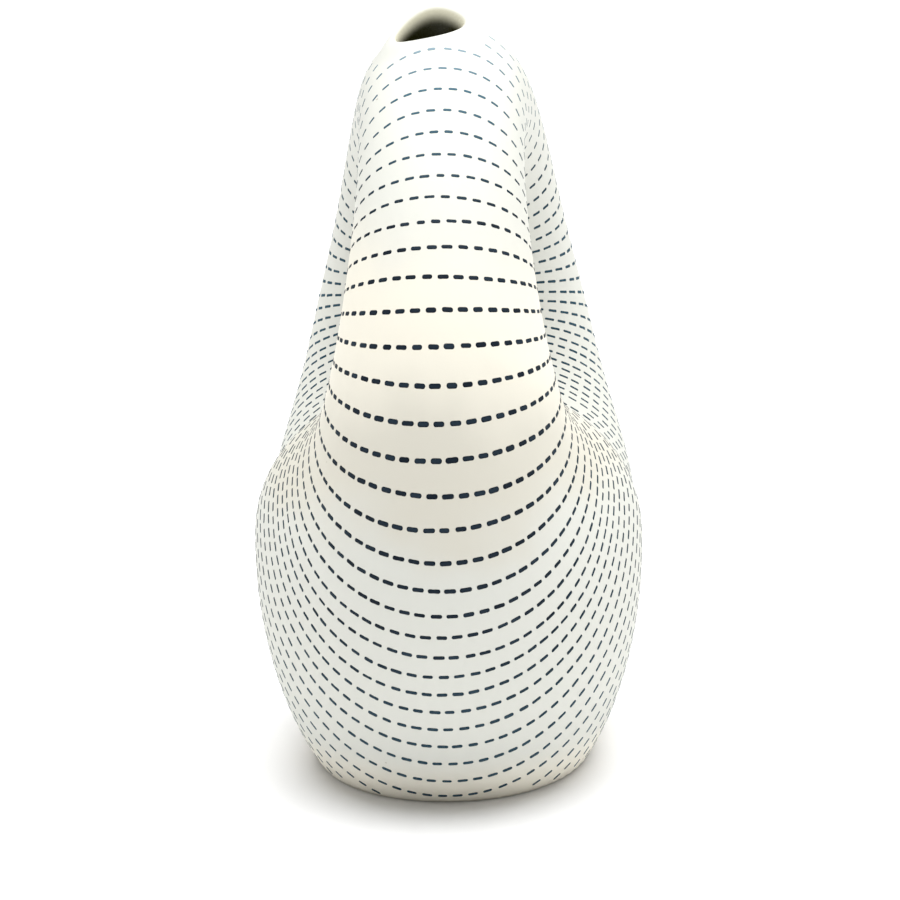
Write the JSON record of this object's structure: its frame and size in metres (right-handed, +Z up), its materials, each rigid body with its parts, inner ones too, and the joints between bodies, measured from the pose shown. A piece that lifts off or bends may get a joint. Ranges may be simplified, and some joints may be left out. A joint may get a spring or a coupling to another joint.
{
  "type": "bud vase",
  "caption": "Ring-shaped porcelain bud vase: a hollow tube with a wide belly goes round an oval hole, with a small lipped mouth in its crown for a stem. Glazed inside.",
  "frame": {"origin": "on the floor under the middle of the vase's outer box", "axes": "+Z up, -Y to the front limb that faces the viewer, +X to the viewer's right, through the hole"},
  "size_m": [0.0856, 0.1418, 0.1644],
  "materials": {
    "bare_porcelain": "matte",
    "olive_glaze": "gloss"
  },
  "bodies": {
    "root": {"porcelain_body": "bare_porcelain", "inner_glaze": "olive_glaze"}
  },
  "joints": []
}
